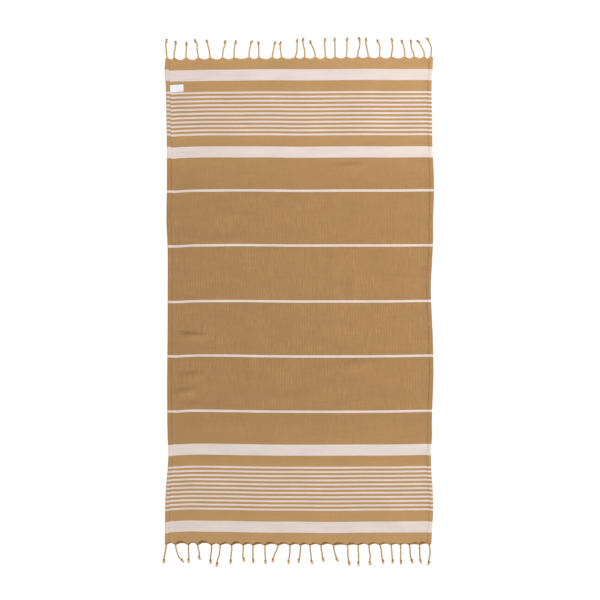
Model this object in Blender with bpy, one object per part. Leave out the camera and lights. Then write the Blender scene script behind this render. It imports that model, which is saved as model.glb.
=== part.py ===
"""Hammam towel: a flat-woven cotton bath sheet, spread out face up.

Metres, +Z up. Seen from above, +X is to the right and +Y runs to the head, which is the
end with the sewn label. The towel is one sheet of cloth with a turned hem on both long
sides. At each end its warp is gathered into 25 twisted cords, each knotted near its tip.
The box round everything is centred over the origin, and the towel lies on z = 0.
"""

import math
from collections import namedtuple

import bmesh
import bpy
from mathutils import Matrix, Vector

# The cloth
CLOTH_LENGTH = 1.6575  # between the roots of the two fringes
SHEET = 0.0014  # thickness of the weave
HEM_WIDTH = 0.0135  # the turned hem on each long side
HEM_RISE = 0.0012  # what the two turns add to the thickness
HEM_STEP = 0.0010  # width of the slope from hem to cloth
GAP = 0.0003  # between pieces that touch
COLUMNS = 20  # faces across, between the hems
ROWS = 42  # faces along

# The strip at each end that carries the cords
HEADING = 0.010  # depth of the strip, to the roots of the cords
ROOT_WIDTH = 0.0060
ROOT_THICKNESS = 0.0026
SCALLOP_SHARE = 0.115  # depth of the arc between two roots, over their spacing
DEEPEST_SCALLOP = 0.0048
CORNER_FALL = 0.0010  # how far the strip's two corners fall back
ARC_STEPS = 4  # faces along each arc
STRIP_ROWS = (0.0, 0.55, 1.0)  # its rows of points, as shares of its depth

# The cords
CORD_RADIUS = 0.0026
KNOT_RADIUS = 0.0046
KNOT_LENGTH = 0.0090
KNOT_RINGS = (0.30, 0.75)  # where its two full rings stand, as shares of its length
TUFT_LENGTH = 0.0055  # frayed ends beyond the knot
TUFT_RADIUS = 0.0030
NECK_RADIUS = 0.0020  # where the knot pulls tight
CORD_STEPS = 7  # faces along the cord, from its root to its knot
SLOPE_REACH = 0.001  # how far to each side the cord's direction is read
TWIST_PER_STEP = math.radians(45.0)

# The label
LABEL_WIDTH = 0.047
LABEL_DEPTH = 0.0245
LABEL_THICKNESS = 0.0010
LABEL_CENTRE = (-0.4150, 0.7240)
LABEL_TILT = math.radians(4.0)
LABEL_CURL = 0.0012  # how far its free corners stand up
LABEL_COLUMNS, LABEL_ROWS = 6, 4

# How the weft lies: it leans at the head and bows at the foot
HEAD_LEAN = 0.0022
HEAD_LEAN_FROM, HEAD_LEAN_TO = 0.29, 0.83
FOOT_BOW = 0.0026
FOOT_BOW_FROM, FOOT_BOW_TO = 0.0, 0.30

# Where the two long sides run: their distance from the middle line, head first
Sides = namedtuple("Sides", "along left right")
SIDES = (
    Sides(0.830, 0.4559, 0.4542),
    Sides(0.780, 0.4590, 0.4524),
    Sides(0.735, 0.4548, 0.4492),
    Sides(0.610, 0.4527, 0.4513),
    Sides(0.530, 0.4511, 0.4519),
    Sides(0.400, 0.4509, 0.4574),
    Sides(0.270, 0.4525, 0.4541),
    Sides(0.215, 0.4499, 0.4544),
    Sides(0.150, 0.4481, 0.4515),
    Sides(0.040, 0.4483, 0.4466),
    Sides(-0.130, 0.4489, 0.4533),
    Sides(-0.250, 0.4500, 0.4552),
    Sides(-0.400, 0.4498, 0.4503),
    Sides(-0.460, 0.4487, 0.4505),
    Sides(-0.533, 0.4461, 0.4467),
    Sides(-0.645, 0.4547, 0.4527),
    Sides(-0.700, 0.4569, 0.4547),
    Sides(-0.830, 0.4582, 0.4482),
)

# Creases that lift the cloth: where each is, how long, wide and high, and how it is turned
Crease = namedtuple("Crease", "x y length width height turn")
CREASES = (
    Crease(-0.373, -0.125, 0.125, 0.034, 0.0030, -7.0),
    Crease(-0.382, -0.253, 0.110, 0.044, 0.0026, 4.0),
    Crease(-0.398, -0.315, 0.105, 0.044, 0.0026, 5.0),
    Crease(-0.357, -0.358, 0.110, 0.040, 0.0022, -8.0),
    Crease(-0.290, 0.218, 0.330, 0.050, 0.0016, 1.0),
    Crease(0.142, 0.040, 0.400, 0.050, 0.0012, 88.0),
    Crease(-0.166, -0.227, 0.300, 0.050, 0.0012, 91.0),
    Crease(0.183, -0.221, 0.160, 0.060, 0.0020, -3.0),
    Crease(0.355, 0.079, 0.170, 0.050, 0.0015, -4.0),
    Crease(0.185, 0.458, 0.170, 0.050, 0.0014, 0.0),
)
FINEST_CREASE = 0.048  # narrower creases get two rounds of cuts, the others one

# The cords of each fringe, from left to right: where the root is, how far aside the cord lies
# from it at each quarter of its length, and how far the tip stands out from the root
Tassel = namedtuple("Tassel", "root quarter middle third tip reach")
HEAD_TASSELS = (
    Tassel(-0.450, -0.0018, -0.0035, -0.0041, -0.0015, 0.065),
    Tassel(-0.426, 0.0003, 0.0028, 0.0043, 0.0042, 0.059),
    Tassel(-0.386, 0.0004, 0.0014, 0.0015, 0.0004, 0.055),
    Tassel(-0.343, -0.0028, -0.0052, -0.0050, -0.0144, 0.063),
    Tassel(-0.304, -0.0012, -0.0043, -0.0087, -0.0132, 0.062),
    Tassel(-0.261, 0.0004, 0.0030, 0.0086, 0.0084, 0.060),
    Tassel(-0.222, -0.0002, 0.0009, 0.0030, 0.0062, 0.059),
    Tassel(-0.171, -0.0002, 0.0021, 0.0055, 0.0118, 0.059),
    Tassel(-0.138, -0.0003, -0.0003, -0.0013, -0.0030, 0.056),
    Tassel(-0.093, 0.0024, 0.0055, 0.0077, 0.0135, 0.055),
    Tassel(-0.061, -0.0020, -0.0042, -0.0044, -0.0016, 0.055),
    Tassel(-0.015, 0.0053, 0.0070, 0.0071, 0.0086, 0.064),
    Tassel(0.017, 0.0013, -0.0020, -0.0051, -0.0034, 0.067),
    Tassel(0.053, -0.0007, -0.0058, -0.0120, -0.0175, 0.058),
    Tassel(0.088, -0.0009, -0.0019, -0.0029, -0.0011, 0.066),
    Tassel(0.121, -0.0003, -0.0004, -0.0007, -0.0005, 0.067),
    Tassel(0.159, 0.0016, 0.0023, 0.0023, 0.0046, 0.067),
    Tassel(0.198, 0.0013, 0.0058, 0.0069, 0.0020, 0.068),
    Tassel(0.234, -0.0021, -0.0058, -0.0087, -0.0084, 0.066),
    Tassel(0.273, -0.0007, 0.0002, -0.0025, -0.0100, 0.060),
    Tassel(0.312, 0.0022, 0.0043, 0.0026, 0.0004, 0.065),
    Tassel(0.357, 0.0010, -0.0015, -0.0054, -0.0105, 0.058),
    Tassel(0.390, -0.0033, -0.0090, -0.0116, -0.0131, 0.059),
    Tassel(0.424, -0.0008, -0.0066, -0.0150, -0.0255, 0.057),
    Tassel(0.446, 0.0019, 0.0016, -0.0053, -0.0150, 0.065),
)
FOOT_TASSELS = (
    Tassel(-0.453, -0.0013, -0.0044, -0.0078, -0.0084, 0.063),
    Tassel(-0.421, 0.0016, 0.0060, 0.0120, 0.0270, 0.059),
    Tassel(-0.378, 0.0007, 0.0011, 0.0023, 0.0010, 0.061),
    Tassel(-0.346, 0.0018, 0.0052, 0.0059, 0.0072, 0.051),
    Tassel(-0.299, 0.0, -0.0017, -0.0038, -0.0037, 0.064),
    Tassel(-0.269, -0.0020, -0.0045, -0.0105, -0.0130, 0.073),
    Tassel(-0.231, 0.0009, -0.0013, -0.0030, -0.0034, 0.063),
    Tassel(-0.191, -0.0003, -0.0010, -0.0011, 0.0028, 0.056),
    Tassel(-0.157, -0.0015, -0.0013, -0.0015, -0.0006, 0.061),
    Tassel(-0.118, 0.0007, 0.0007, 0.0027, 0.0030, 0.063),
    Tassel(-0.072, -0.0048, -0.0114, -0.0163, -0.0188, 0.058),
    Tassel(-0.032, -0.0008, -0.0013, -0.0038, -0.0050, 0.063),
    Tassel(0.004, -0.0009, -0.0024, -0.0037, -0.0075, 0.059),
    Tassel(0.036, 0.0002, 0.0027, 0.0041, 0.0081, 0.063),
    Tassel(0.073, 0.0007, 0.0037, 0.0048, 0.0086, 0.056),
    Tassel(0.116, 0.0010, 0.0046, 0.0092, 0.0145, 0.056),
    Tassel(0.163, 0.0014, 0.0015, 0.0040, 0.0060, 0.070),
    Tassel(0.200, -0.0007, 0.0008, 0.0008, 0.0010, 0.070),
    Tassel(0.236, 0.0010, 0.0040, 0.0034, 0.0039, 0.068),
    Tassel(0.273, 0.0045, 0.0059, 0.0083, 0.0121, 0.064),
    Tassel(0.311, 0.0023, 0.0033, 0.0042, 0.0058, 0.063),
    Tassel(0.343, 0.0011, 0.0012, 0.0005, 0.0023, 0.066),
    Tassel(0.373, 0.0025, 0.0031, 0.0060, 0.0110, 0.063),
    Tassel(0.408, 0.0004, 0.0004, 0.0020, 0.0058, 0.063),
    Tassel(0.441, 0.0022, 0.0024, -0.0013, -0.0034, 0.070),
)
HEAD_CURL = 0.0010  # how far the edge lifts between two roots
FOOT_CURL = 0.0022

TAN_COTTON = (0.42, 0.25, 0.11, 1.0)
TAN_YARN = (0.46, 0.29, 0.14, 1.0)
WHITE_SATIN = (0.86, 0.86, 0.88, 1.0)
CLOTH_ROUGHNESS = 0.9
LABEL_ROUGHNESS = 0.5
SHARPEST_SMOOTH = math.radians(40.0)  # edges that turn more than this are shaded sharp


def ease(value, start, end):
    """0 up to start and 1 from end, with a smooth rise between them."""
    share = min(1.0, max(0.0, (value - start) / (end - start)))
    return share * share * (3.0 - 2.0 * share)


def through(stations, values, at):
    """A smooth curve through the values, which stand at rising stations, read at one place."""
    last = len(stations) - 1
    index = sum(station <= at for station in stations[1:last])
    slopes = []
    for here in (index, index + 1):
        before, after = max(here - 1, 0), min(here + 1, last)
        slopes.append((values[after] - values[before]) / (stations[after] - stations[before]))
    span = stations[index + 1] - stations[index]
    t = min(1.0, max(0.0, (at - stations[index]) / span))
    return (
        values[index] * (1 + 2 * t) * (1 - t) ** 2
        + values[index + 1] * t * t * (3 - 2 * t)
        + slopes[0] * span * t * (1 - t) ** 2
        - slopes[1] * span * t * t * (1 - t)
    )


SIDE_STATIONS = [row.along for row in reversed(SIDES)]
LEFT_SIDE = [row.left for row in reversed(SIDES)]
RIGHT_SIDE = [row.right for row in reversed(SIDES)]


def place(across, along):
    """Where a point of the weave lies. across is -1 on the left side and 1 on the right."""
    edge = through(SIDE_STATIONS, RIGHT_SIDE if across > 0 else LEFT_SIDE, along)
    lean = HEAD_LEAN * across * ease(along, HEAD_LEAN_FROM, HEAD_LEAN_TO)
    bow = FOOT_BOW * across**2 * ease(-along, FOOT_BOW_FROM, FOOT_BOW_TO)
    return across * edge, along + lean + bow


def share_across(x, along):
    """The across value of a point x metres from the middle line."""
    return x / through(SIDE_STATIONS, RIGHT_SIDE if x > 0 else LEFT_SIDE, along)


def on_crease(crease, x, y):
    """How far a point is from a crease's middle, as shares of its half length and half width."""
    turn = math.radians(crease.turn)
    dx, dy = x - crease.x, y - crease.y
    lengthwise = (dx * math.cos(turn) + dy * math.sin(turn)) / (crease.length / 2)
    sideways = (dy * math.cos(turn) - dx * math.sin(turn)) / (crease.width / 2)
    return lengthwise, sideways


def lift(x, y):
    """How high the creases hold the cloth off the surface. It is 0 where the cloth lies flat."""
    height = 0.0
    for crease in CREASES:
        lengthwise, sideways = on_crease(crease, x, y)
        if abs(lengthwise) < 1 and abs(sideways) < 1:
            height += (
                crease.height
                * math.cos(math.pi / 2 * lengthwise) ** 2
                * math.cos(math.pi / 2 * sideways) ** 2
            )
    return height


def spread(start, end, steps):
    """Evenly spaced numbers from start to end."""
    return [start + (end - start) * step / steps for step in range(steps + 1)]


def sheet_grid(mesh, columns, rows):
    """A grid whose points stand at the given columns and rows, with z = 0."""
    bmesh.ops.create_grid(
        mesh, x_segments=len(columns) - 1, y_segments=len(rows) - 1, size=0.5
    )
    for vert in mesh.verts:
        column = round((vert.co.x + 0.5) * (len(columns) - 1))
        row = round((vert.co.y + 0.5) * (len(rows) - 1))
        vert.co = (columns[column], rows[row], 0.0)


def thicken(mesh):
    """Copies the sheet as its upper face and walls the two in. Returns both faces' points."""
    under = mesh.verts[:]
    made = bmesh.ops.extrude_face_region(mesh, geom=mesh.faces[:])["geom"]
    return under, [item for item in made if isinstance(item, bmesh.types.BMVert)]


def finish(name, mesh, colour, roughness):
    """Makes the mesh an object with its own material."""
    bmesh.ops.triangulate(mesh, faces=mesh.faces[:])
    bmesh.ops.recalc_face_normals(mesh, faces=mesh.faces)
    data = bpy.data.meshes.new(name)
    mesh.to_mesh(data)
    mesh.free()
    data.shade_smooth()
    data.set_sharp_from_angle(angle=SHARPEST_SMOOTH)
    material = bpy.data.materials.new(name)
    material.use_nodes = True
    shader = material.node_tree.nodes["Principled BSDF"]
    shader.inputs["Base Color"].default_value = colour
    shader.inputs["Roughness"].default_value = roughness
    shader.inputs["Metallic"].default_value = 0.0
    data.materials.append(material)
    item = bpy.data.objects.new(name, data)
    bpy.context.scene.collection.objects.link(item)
    return item


def cut_near(mesh, creases):
    """Halves the faces that any of these creases reaches."""
    near = []
    for face in mesh.faces:
        middle = face.calc_center_median()
        x, y = place(middle.x, middle.y)
        for crease in creases:
            lengthwise, sideways = on_crease(crease, x, y)
            if abs(lengthwise) < 1 and abs(sideways) < 1:
                near.append(face)
                break
    edges = list({edge for face in near for edge in face.edges})
    bmesh.ops.subdivide_edges(mesh, edges=edges, cuts=1, use_grid_fill=True)


def make_cloth():
    """The woven sheet with its two hems, and the creases that it lies in."""
    half_width = (LEFT_SIDE[0] + RIGHT_SIDE[0]) / 2
    hem = HEM_WIDTH / half_width
    slope = HEM_STEP / half_width
    inner = 1 - hem - slope
    columns = [-1, -1 + hem] + spread(-inner, inner, COLUMNS) + [1 - hem, 1]
    end = CLOTH_LENGTH / 2 - HEADING
    mesh = bmesh.new()
    sheet_grid(mesh, columns, spread(-end, end, ROWS))
    cut_near(mesh, CREASES)
    cut_near(mesh, [crease for crease in CREASES if crease.width < FINEST_CREASE])
    under, over = thicken(mesh)
    for vert in over:
        in_hem = abs(vert.co.x) > inner + slope / 2
        vert.co.z = SHEET + (HEM_RISE if in_hem else 0.0)
    for vert in under + over:
        x, y = place(vert.co.x, vert.co.y)
        vert.co = (x, y, vert.co.z + lift(x, y))
    return finish("cloth", mesh, TAN_COTTON, CLOTH_ROUGHNESS)


def cord_stations(reach):
    """(distance from the root, radius) of each ring of a cord, its knot and its tuft."""
    knot_start = reach - TUFT_LENGTH - KNOT_LENGTH
    stations = [(distance, CORD_RADIUS) for distance in spread(0.0, knot_start, CORD_STEPS)[1:]]
    stations += [
        (knot_start + KNOT_LENGTH * KNOT_RINGS[0], KNOT_RADIUS),
        (knot_start + KNOT_LENGTH * KNOT_RINGS[1], KNOT_RADIUS),
        (knot_start + KNOT_LENGTH, NECK_RADIUS),
        (reach, TUFT_RADIUS),
    ]
    return stations


def add_cord(mesh, root_face, tassel, out):
    """Extrudes one four-sided twisted cord from its root face. out is 1 at the head."""
    root = root_face.calc_center_median()
    corners = []
    for vert in root_face.verts:
        offset = vert.co - root
        corners.append(math.atan2(math.copysign(1.0, offset.z), math.copysign(1.0, offset.x)))
    distances = spread(0.0, tassel.reach, 4)
    asides = [0.0, tassel.quarter, tassel.middle, tassel.third, tassel.tip]
    face = root_face
    for step, (distance, radius) in enumerate(cord_stations(tassel.reach), start=1):
        aside = through(distances, asides, distance)
        ahead = through(distances, asides, distance + SLOPE_REACH)
        behind = through(distances, asides, distance - SLOPE_REACH)
        heading = Vector((ahead - behind, out * 2 * SLOPE_REACH, 0.0)).normalized()
        beside = Vector((heading.y, -heading.x, 0.0)) * out
        centre = Vector((root.x + aside, root.y + out * distance, radius))
        face = bmesh.ops.extrude_discrete_faces(mesh, faces=[face])["faces"][0]
        for vert, corner in zip(face.verts, corners):
            angle = corner + TWIST_PER_STEP * step
            vert.co = centre + radius * (
                beside * math.cos(angle) + Vector((0.0, 0.0, math.sin(angle)))
            )


def scalloped_edge(tassels, along):
    """Points of the strip's outer edge: x, how far it falls back, and its share of the curl."""
    points = [(-through(SIDE_STATIONS, LEFT_SIDE, along), CORNER_FALL, 0.0)]
    for tassel, following in zip(tassels, tassels[1:] + (None,)):
        points.append((tassel.root - ROOT_WIDTH / 2, 0.0, 0.0))
        points.append((tassel.root + ROOT_WIDTH / 2, 0.0, 0.0))
        if following is None:
            break
        start, end = tassel.root + ROOT_WIDTH / 2, following.root - ROOT_WIDTH / 2
        depth = min(DEEPEST_SCALLOP, SCALLOP_SHARE * (following.root - tassel.root))
        for share in spread(0.0, 1.0, ARC_STEPS)[1:-1]:
            bulge = 1 - (2 * share - 1) ** 2
            points.append((start + (end - start) * share, depth * bulge, bulge))
    points.append((through(SIDE_STATIONS, RIGHT_SIDE, along), CORNER_FALL, 0.0))
    return points


def make_fringe(name, tassels, out, curl):
    """One end's cords, on the strip of gathered cloth that holds their roots."""
    along = out * CLOTH_LENGTH / 2
    edge = scalloped_edge(tassels, along)
    mesh = bmesh.new()
    sheet_grid(mesh, range(len(edge)), STRIP_ROWS)
    under, over = thicken(mesh)
    rim_column = {}
    for vert in over:
        fall = edge[round(vert.co.x)][1]
        at_root = vert.co.y == STRIP_ROWS[-1] and fall == 0.0
        vert.co.z = ROOT_THICKNESS if at_root else SHEET
    for vert in under + over:
        column, depth = round(vert.co.x), vert.co.y
        if depth == STRIP_ROWS[-1]:
            rim_column[vert] = column
        x, fall, bulge = edge[column]
        inner, outer = CLOTH_LENGTH / 2 - HEADING + GAP, CLOTH_LENGTH / 2 - fall
        placed = place(share_across(x, along), out * (inner + (outer - inner) * depth))
        vert.co = (*placed, vert.co.z + curl * bulge * depth**2)
    root_columns = {
        column: number
        for number, tassel in enumerate(tassels)
        for column, point in enumerate(edge)
        if point[0] == tassel.root - ROOT_WIDTH / 2
    }
    roots = {}
    for face in mesh.faces:
        if all(vert in rim_column for vert in face.verts):
            first = min(rim_column[vert] for vert in face.verts)
            if first in root_columns:
                roots[root_columns[first]] = face
    for number, tassel in enumerate(tassels):
        add_cord(mesh, roots[number], tassel, out)
    return finish(name, mesh, TAN_YARN, CLOTH_ROUGHNESS)


def make_label():
    """The sewn label beside the left hem, bare, with its free corners a little raised."""
    mesh = bmesh.new()
    sheet_grid(
        mesh,
        spread(-LABEL_WIDTH / 2, LABEL_WIDTH / 2, LABEL_COLUMNS),
        spread(-LABEL_DEPTH / 2, LABEL_DEPTH / 2, LABEL_ROWS),
    )
    under, over = thicken(mesh)
    for vert in over:
        vert.co.z = LABEL_THICKNESS
    for vert in under + over:
        free = ease(vert.co.x, 0.0, LABEL_WIDTH / 2) * (vert.co.y / (LABEL_DEPTH / 2)) ** 2
        vert.co.z += LABEL_CURL * free
    turned = Matrix.Rotation(LABEL_TILT, 4, "Z")
    placed = Matrix.Translation((*LABEL_CENTRE, SHEET + GAP)) @ turned
    bmesh.ops.transform(mesh, matrix=placed, verts=mesh.verts[:])
    return finish("label", mesh, WHITE_SATIN, LABEL_ROUGHNESS)


def centre_over_origin(items):
    """Moves every mesh by the same amount, so that the box round them all is centred."""
    corners = [vert.co for item in items for vert in item.data.vertices]
    middle_x = (min(co.x for co in corners) + max(co.x for co in corners)) / 2
    middle_y = (min(co.y for co in corners) + max(co.y for co in corners)) / 2
    for item in items:
        for vert in item.data.vertices:
            vert.co.x -= middle_x
            vert.co.y -= middle_y


def main():
    for item in list(bpy.data.objects):
        bpy.data.objects.remove(item)
    towel = [
        make_cloth(),
        make_fringe("fringe_head", HEAD_TASSELS, 1, HEAD_CURL),
        make_fringe("fringe_foot", FOOT_TASSELS, -1, FOOT_CURL),
        make_label(),
    ]
    centre_over_origin(towel)


main()
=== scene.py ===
"""Hammam towel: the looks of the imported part.

Metres, +Z up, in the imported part's frame. The cloth is one thin sheet with its hems turned
twice, woven in tan and cream. Each cord of the fringe is two plies of its warp, which start
along the cloth's scalloped edge, twist together and end in an overhand knot and a tuft. The
script draws the towel round the middle of its stripes, where part.py draws it too, and
finish_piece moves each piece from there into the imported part's frame.
"""

import math
import random
from collections import namedtuple
from functools import cache, partial

import bmesh
import bpy
from bpy.props import FloatProperty, FloatVectorProperty, PointerProperty
from mathutils import Matrix, Vector, noise


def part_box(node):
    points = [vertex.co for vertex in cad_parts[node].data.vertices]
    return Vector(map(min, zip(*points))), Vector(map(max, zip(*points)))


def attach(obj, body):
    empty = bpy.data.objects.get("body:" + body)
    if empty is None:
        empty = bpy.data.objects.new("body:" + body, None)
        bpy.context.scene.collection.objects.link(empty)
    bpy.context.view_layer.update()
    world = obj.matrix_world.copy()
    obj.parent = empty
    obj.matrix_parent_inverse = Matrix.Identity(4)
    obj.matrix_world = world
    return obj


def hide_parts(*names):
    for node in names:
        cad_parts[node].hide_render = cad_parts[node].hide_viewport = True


bl_info = {
    "name": "Hammam Towel",
    "version": (1, 0, 0),
    "blender": (4, 5, 0),
    "location": "3D View > Sidebar > Towel",
    "description": "Weaves, hems, fringes and labels a striped cotton bath towel",
    "category": "Object",
}

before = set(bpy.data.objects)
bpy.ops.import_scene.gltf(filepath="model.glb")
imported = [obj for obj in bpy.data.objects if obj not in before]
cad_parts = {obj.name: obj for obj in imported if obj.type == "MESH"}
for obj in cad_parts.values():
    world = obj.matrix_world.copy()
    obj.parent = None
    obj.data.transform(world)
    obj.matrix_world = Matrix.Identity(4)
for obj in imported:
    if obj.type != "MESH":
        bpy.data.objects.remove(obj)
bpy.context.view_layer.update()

# ---------------------------------------------------------------- sizes shared with the solids

CLOTH_LENGTH = 1.6575  # between the roots of the two fringes
ROOT_WIDTH = 0.0060
SCALLOP_SHARE = 0.115  # depth of the arc between two roots, over their spacing
DEEPEST_SCALLOP = 0.0048
CORNER_FALL = 0.0010  # how far the strip's two corners fall back
KNOT_LENGTH = 0.0090
TUFT_LENGTH = 0.0055  # frayed ends beyond the knot
LABEL_CENTRE = (-0.4150, 0.7240)
LABEL_TILT = math.radians(4.0)
LABEL_CURL = 0.0012  # how far its free corners stand up
GAP = 0.0003

# How the weft lies: it leans at the head and bows at the foot
HEAD_LEAN = 0.0022
HEAD_LEAN_FROM, HEAD_LEAN_TO = 0.29, 0.83
FOOT_BOW = 0.0026
FOOT_BOW_FROM, FOOT_BOW_TO = 0.0, 0.30

# Where the two long sides run: their distance from the middle line, head first
Sides = namedtuple("Sides", "along left right")
SIDES = (
    Sides(0.830, 0.4559, 0.4542),
    Sides(0.780, 0.4590, 0.4524),
    Sides(0.735, 0.4548, 0.4492),
    Sides(0.610, 0.4527, 0.4513),
    Sides(0.530, 0.4511, 0.4519),
    Sides(0.400, 0.4509, 0.4574),
    Sides(0.270, 0.4525, 0.4541),
    Sides(0.215, 0.4499, 0.4544),
    Sides(0.150, 0.4481, 0.4515),
    Sides(0.040, 0.4483, 0.4466),
    Sides(-0.130, 0.4489, 0.4533),
    Sides(-0.250, 0.4500, 0.4552),
    Sides(-0.400, 0.4498, 0.4503),
    Sides(-0.460, 0.4487, 0.4505),
    Sides(-0.533, 0.4461, 0.4467),
    Sides(-0.645, 0.4547, 0.4527),
    Sides(-0.700, 0.4569, 0.4547),
    Sides(-0.830, 0.4582, 0.4482),
)

# Creases that lift the cloth: where each is, how long, wide and high, how it is turned, and
# how far its crest leans to the head. The solids have them lower, with upright crests, and
# the two low ridges right of the middle as one
Crease = namedtuple("Crease", "x y length width height turn lean", defaults=(0.0,))
CREASES = (
    Crease(-0.366, -0.121, 0.138, 0.038, 0.0062, -8.0, 0.35),
    Crease(-0.364, -0.260, 0.118, 0.054, 0.0042, 3.0, 0.30),
    Crease(-0.391, -0.310, 0.105, 0.046, 0.0040, 3.5, 0.0),
    Crease(-0.343, -0.358, 0.140, 0.040, 0.0026, -9.0, 0.2),
    Crease(-0.290, 0.208, 0.330, 0.050, 0.0016, 1.0),
    Crease(0.116, 0.040, 0.400, 0.040, 0.0009, 89.0),
    Crease(0.183, 0.040, 0.400, 0.050, 0.0012, 89.0),
    Crease(-0.168, -0.227, 0.300, 0.040, 0.0012, 91.0, -0.3),
    Crease(0.183, -0.223, 0.160, 0.066, 0.0039, -3.0, 0.2),
    Crease(0.355, 0.074, 0.170, 0.050, 0.0022, -4.0, 0.2),
    Crease(0.170, 0.454, 0.170, 0.038, 0.0030, 0.0, 0.4),
)
# Small puckers that the sewing has drawn up along the hems
PUCKERS = (
    Crease(-0.442, 0.159, 0.034, 0.012, 0.0009, 0.0),
    Crease(-0.442, 0.120, 0.036, 0.012, 0.0009, -4.0),
    Crease(-0.441, -0.030, 0.034, 0.014, 0.0008, 3.0),
    Crease(0.436, 0.327, 0.040, 0.014, 0.0009, 6.0),
    Crease(0.434, 0.259, 0.040, 0.014, 0.0009, -5.0),
    Crease(0.428, 0.134, 0.038, 0.014, 0.0011, 8.0),
    Crease(0.427, 0.106, 0.036, 0.014, 0.0012, -6.0),
    Crease(0.428, 0.079, 0.034, 0.014, 0.0011, 5.0),
)

# The cords, left to right: where the root is, how far aside the cord lies from it at each
# quarter of its length, how far its tip stands out, how tightly the edge to its right rolls,
# and how many millimetres deeper than usual that edge falls back
Tassel = namedtuple("Tassel", "root quarter middle third tip reach curl dip")
HEAD_TASSELS = (
    Tassel(-0.450, -0.0018, -0.0035, -0.0041, -0.0015, 0.065, 0.15, 1.7),
    Tassel(-0.426, 0.0003, 0.0028, 0.0043, 0.0042, 0.059, 0.2, 2.4),
    Tassel(-0.386, 0.0004, 0.0014, 0.0015, 0.0004, 0.055, 0.2, 1.7),
    Tassel(-0.343, -0.0028, -0.0052, -0.0050, -0.0144, 0.063, 0.15, 0.7),
    Tassel(-0.304, -0.0012, -0.0043, -0.0087, -0.0132, 0.062, 0.2, 0.5),
    Tassel(-0.261, 0.0004, 0.0030, 0.0086, 0.0084, 0.060, 0.2, 0.8),
    Tassel(-0.222, -0.0002, 0.0009, 0.0030, 0.0062, 0.059, 0.2, -1.0),
    Tassel(-0.171, -0.0002, 0.0021, 0.0055, 0.0118, 0.059, 0.15, 0.4),
    Tassel(-0.138, -0.0003, -0.0003, -0.0013, -0.0030, 0.056, 0.2, 0.1),
    Tassel(-0.093, 0.0024, 0.0055, 0.0077, 0.0135, 0.055, 0.1, 0.5),
    Tassel(-0.061, -0.0020, -0.0042, -0.0044, -0.0016, 0.055, 0.2, -0.4),
    Tassel(-0.015, 0.0053, 0.0070, 0.0071, 0.0086, 0.064, 0.15, 0.3),
    Tassel(0.017, 0.0013, -0.0020, -0.0051, -0.0034, 0.067, 0.2, 0.1),
    Tassel(0.053, -0.0007, -0.0058, -0.0120, -0.0175, 0.058, 0.2, 1.2),
    Tassel(0.088, -0.0009, -0.0019, -0.0029, -0.0011, 0.066, 0.15, 1.0),
    Tassel(0.121, -0.0003, -0.0004, -0.0007, -0.0005, 0.067, 0.2, -0.5),
    Tassel(0.159, 0.0016, 0.0023, 0.0023, 0.0046, 0.067, 0.2, -1.4),
    Tassel(0.198, 0.0013, 0.0058, 0.0069, 0.0020, 0.068, 0.15, -1.5),
    Tassel(0.234, -0.0021, -0.0058, -0.0087, -0.0084, 0.066, 0.2, -1.2),
    Tassel(0.273, -0.0007, 0.0002, -0.0025, -0.0100, 0.060, 0.2, 0.1),
    Tassel(0.312, 0.0022, 0.0043, 0.0026, 0.0004, 0.065, 0.2, -0.1),
    Tassel(0.357, 0.0010, -0.0015, -0.0054, -0.0105, 0.058, 0.15, 0.8),
    Tassel(0.390, -0.0033, -0.0090, -0.0116, -0.0131, 0.059, 0.2, 0.3),
    Tassel(0.424, -0.0008, -0.0066, -0.0150, -0.0255, 0.057, 0.1, 2.6),
    Tassel(0.446, 0.0019, 0.0016, -0.0053, -0.0150, 0.065, 0.0, 0.0),
)
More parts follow.
